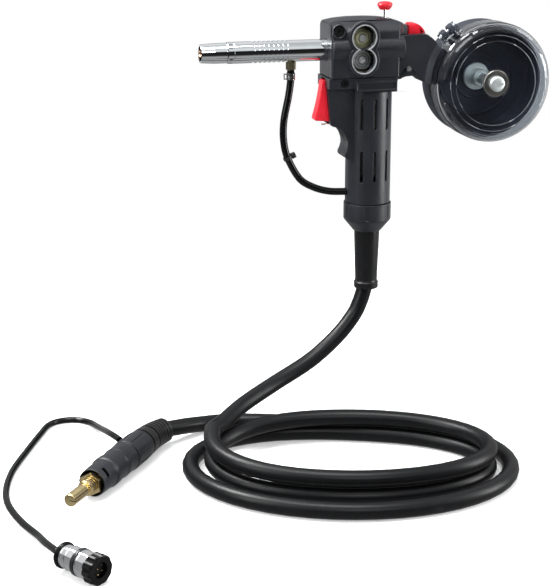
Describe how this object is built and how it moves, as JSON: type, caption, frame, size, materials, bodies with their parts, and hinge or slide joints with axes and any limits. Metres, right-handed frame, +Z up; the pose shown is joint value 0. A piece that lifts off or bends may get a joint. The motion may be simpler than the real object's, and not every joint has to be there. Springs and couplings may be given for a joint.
{
  "type": "spool gun",
  "caption": "Hand-held MIG spool gun: barrel, wire drive, pistol grip, clear-covered spool housing, coiled power cable with brass plug, and a control lead with its connector.",
  "frame": {"origin": "on the axis of the grip, at half the grip's height", "axes": "+Z up along the grip's axis; the barrel points to -X; the clear spool cover faces -Y"},
  "size_m": [0.5541, 0.377, 0.412],
  "materials": {
    "black_plastic": "moulded glass-filled nylon, fine satin grain",
    "black_rubber": "matt rubber",
    "chrome": "polished plate",
    "steel": "turned and plated",
    "grey_metal": "die-cast zinc",
    "brass": "turned, lightly dulled",
    "copper": "turned copper",
    "gear_bronze": "sintered bronze",
    "roll_bronze": "oiled olive brass",
    "red_plastic": "semi-gloss moulding",
    "grey_pad": "ribbed soft pad",
    "insulator": "phenolic tube",
    "clear_plastic": "clear moulded polycarbonate"
  },
  "bodies": {
    "gun": {"nozzle": "chrome", "nozzle_ring": "chrome", "contact_tip": "copper", "gas_diffuser": "brass", "barrel_tube": "chrome", "conductor_tube": "brass", "barrel_sleeve": "insulator", "gas_fitting": "brass", "hose_clamp": "steel", "gas_hose": "black_rubber", "hose_tie": "black_rubber", "drive_housing": "black_plastic", "side_cover": "black_plastic", "window": "clear_plastic", "window_rim": "chrome", "case_screws": "steel", "wire_guides": "brass", "shaft_bushes": "brass", "top_bush": "steel", "handle_near": "black_plastic", "handle_far": "black_plastic", "motor": "steel", "gear_head": "grey_metal", "trigger_spring": "steel", "micro_switches": "black_plastic", "pivot_pins": "steel", "collar": "black_plastic", "cable_boot": "black_rubber", "cable_drop": "black_rubber", "cable_coil": "black_rubber", "cable_tail": "black_rubber", "spool_arm": "black_plastic", "ribbed_pad": "grey_pad", "spool_base": "black_plastic", "spindle": "steel", "plug_boot": "black_rubber", "plug_body": "black_plastic", "plug_sleeve": "black_plastic", "brass_pin": "brass", "o_rings": "black_rubber", "control_lead": "black_rubber", "backshell": "black_rubber", "connector_body": "chrome", "connector_insert": "black_plastic"},
    "trigger": {"trigger": "red_plastic"},
    "drive_roll": {"drive_roll": "steel", "drive_roll_screw": "steel", "drive_shaft": "steel", "bevel_gear": "gear_bronze"},
    "bevel_pinion": {"bevel_pinion": "gear_bronze"},
    "pressure_arm": {"pressure_arm": "steel"},
    "pressure_roll": {"pressure_roll": "roll_bronze"},
    "tension_rod": {"tension_rod": "steel", "tension_knob": "red_plastic", "tension_spring": "steel"},
    "spool_cover": {"spool_cover": "clear_plastic"},
    "hub_washer": {"hub_washer": "steel"},
    "hub_nut": {"hub_nut": "steel"},
    "inch_button": {"inch_button": "red_plastic"},
    "coupling_ring": {"coupling_ring": "black_plastic"}
  },
  "joints": [
    {"name": "trigger_pull", "type": "hinge", "parent": "gun", "child": "trigger", "pos_m": [-0.038, 0, 0.058], "axis": [0, -1, 0], "range_deg": [0, 12], "stiffness_Nm_per_rad": 0.5, "springref_deg": -11.46},
    {"name": "drive_roll_spin", "type": "hinge", "parent": "gun", "child": "drive_roll", "pos_m": [-0.009, 0, 0.0797], "axis": [0, 1, 0], "continuous": true},
    {"name": "pinion_spin", "type": "hinge", "parent": "gun", "child": "bevel_pinion", "pos_m": [-0.009, 0, 0.0797], "axis": [0, 0, 1], "continuous": true},
    {"name": "tension_lift", "type": "slide", "parent": "gun", "child": "tension_rod", "axis": [0, 0, 1], "range_m": [0, 0.006], "stiffness_N_per_m": 500, "springref_m": -0.012, "deforming": ["tension_spring"]},
    {"name": "pressure_arm_lift", "type": "hinge", "parent": "gun", "child": "pressure_arm", "pos_m": [-0.03, 0, 0.1], "axis": [0, -1, 0], "range_deg": [0, 7.8]},
    {"name": "pressure_roll_spin", "type": "hinge", "parent": "pressure_arm", "child": "pressure_roll", "pos_m": [-0.009, 0, 0.1003], "axis": [0, 1, 0], "continuous": true},
    {"name": "cover_open", "type": "hinge", "parent": "gun", "child": "spool_cover", "pos_m": [0.07616, -0.005, 0.10448], "axis": [-0.749, 0, -0.6626], "range_deg": [0, 80]},
    {"name": "hub_nut_turn", "type": "hinge", "parent": "hub_washer", "child": "hub_nut", "pos_m": [0.1195, 0, 0.0555], "axis": [0, -1, 0], "range_deg": [0, 1080]},
    {"name": "hub_washer_slide", "type": "slide", "parent": "gun", "child": "hub_washer", "axis": [0, -1, 0], "range_m": [0, 0.00374]},
    {"name": "inch_press", "type": "hinge", "parent": "gun", "child": "inch_button", "pos_m": [0.0515, 0, 0.1022], "axis": [0, -1, 0], "range_deg": [0, 7], "stiffness_Nm_per_rad": 0.15, "springref_deg": -8.59},
    {"name": "coupling_turn", "type": "hinge", "parent": "gun", "child": "coupling_ring", "pos_m": [-0.347, -0.281, -0.2647], "axis": [0.5563, -0.831, 0], "range_deg": [0, 100]}
  ],
  "couplings": [
    {"joint": "pinion_spin", "follows": "drive_roll_spin", "ratio": 1.6667},
    {"joint": "pressure_roll_spin", "follows": "drive_roll_spin", "ratio": -1},
    {"joint": "pressure_arm_lift", "follows": "tension_lift", "rad_per_m": 22.47},
    {"joint": "hub_nut_turn", "follows": "hub_washer_slide", "rad_per_m": 5026.5}
  ]
}
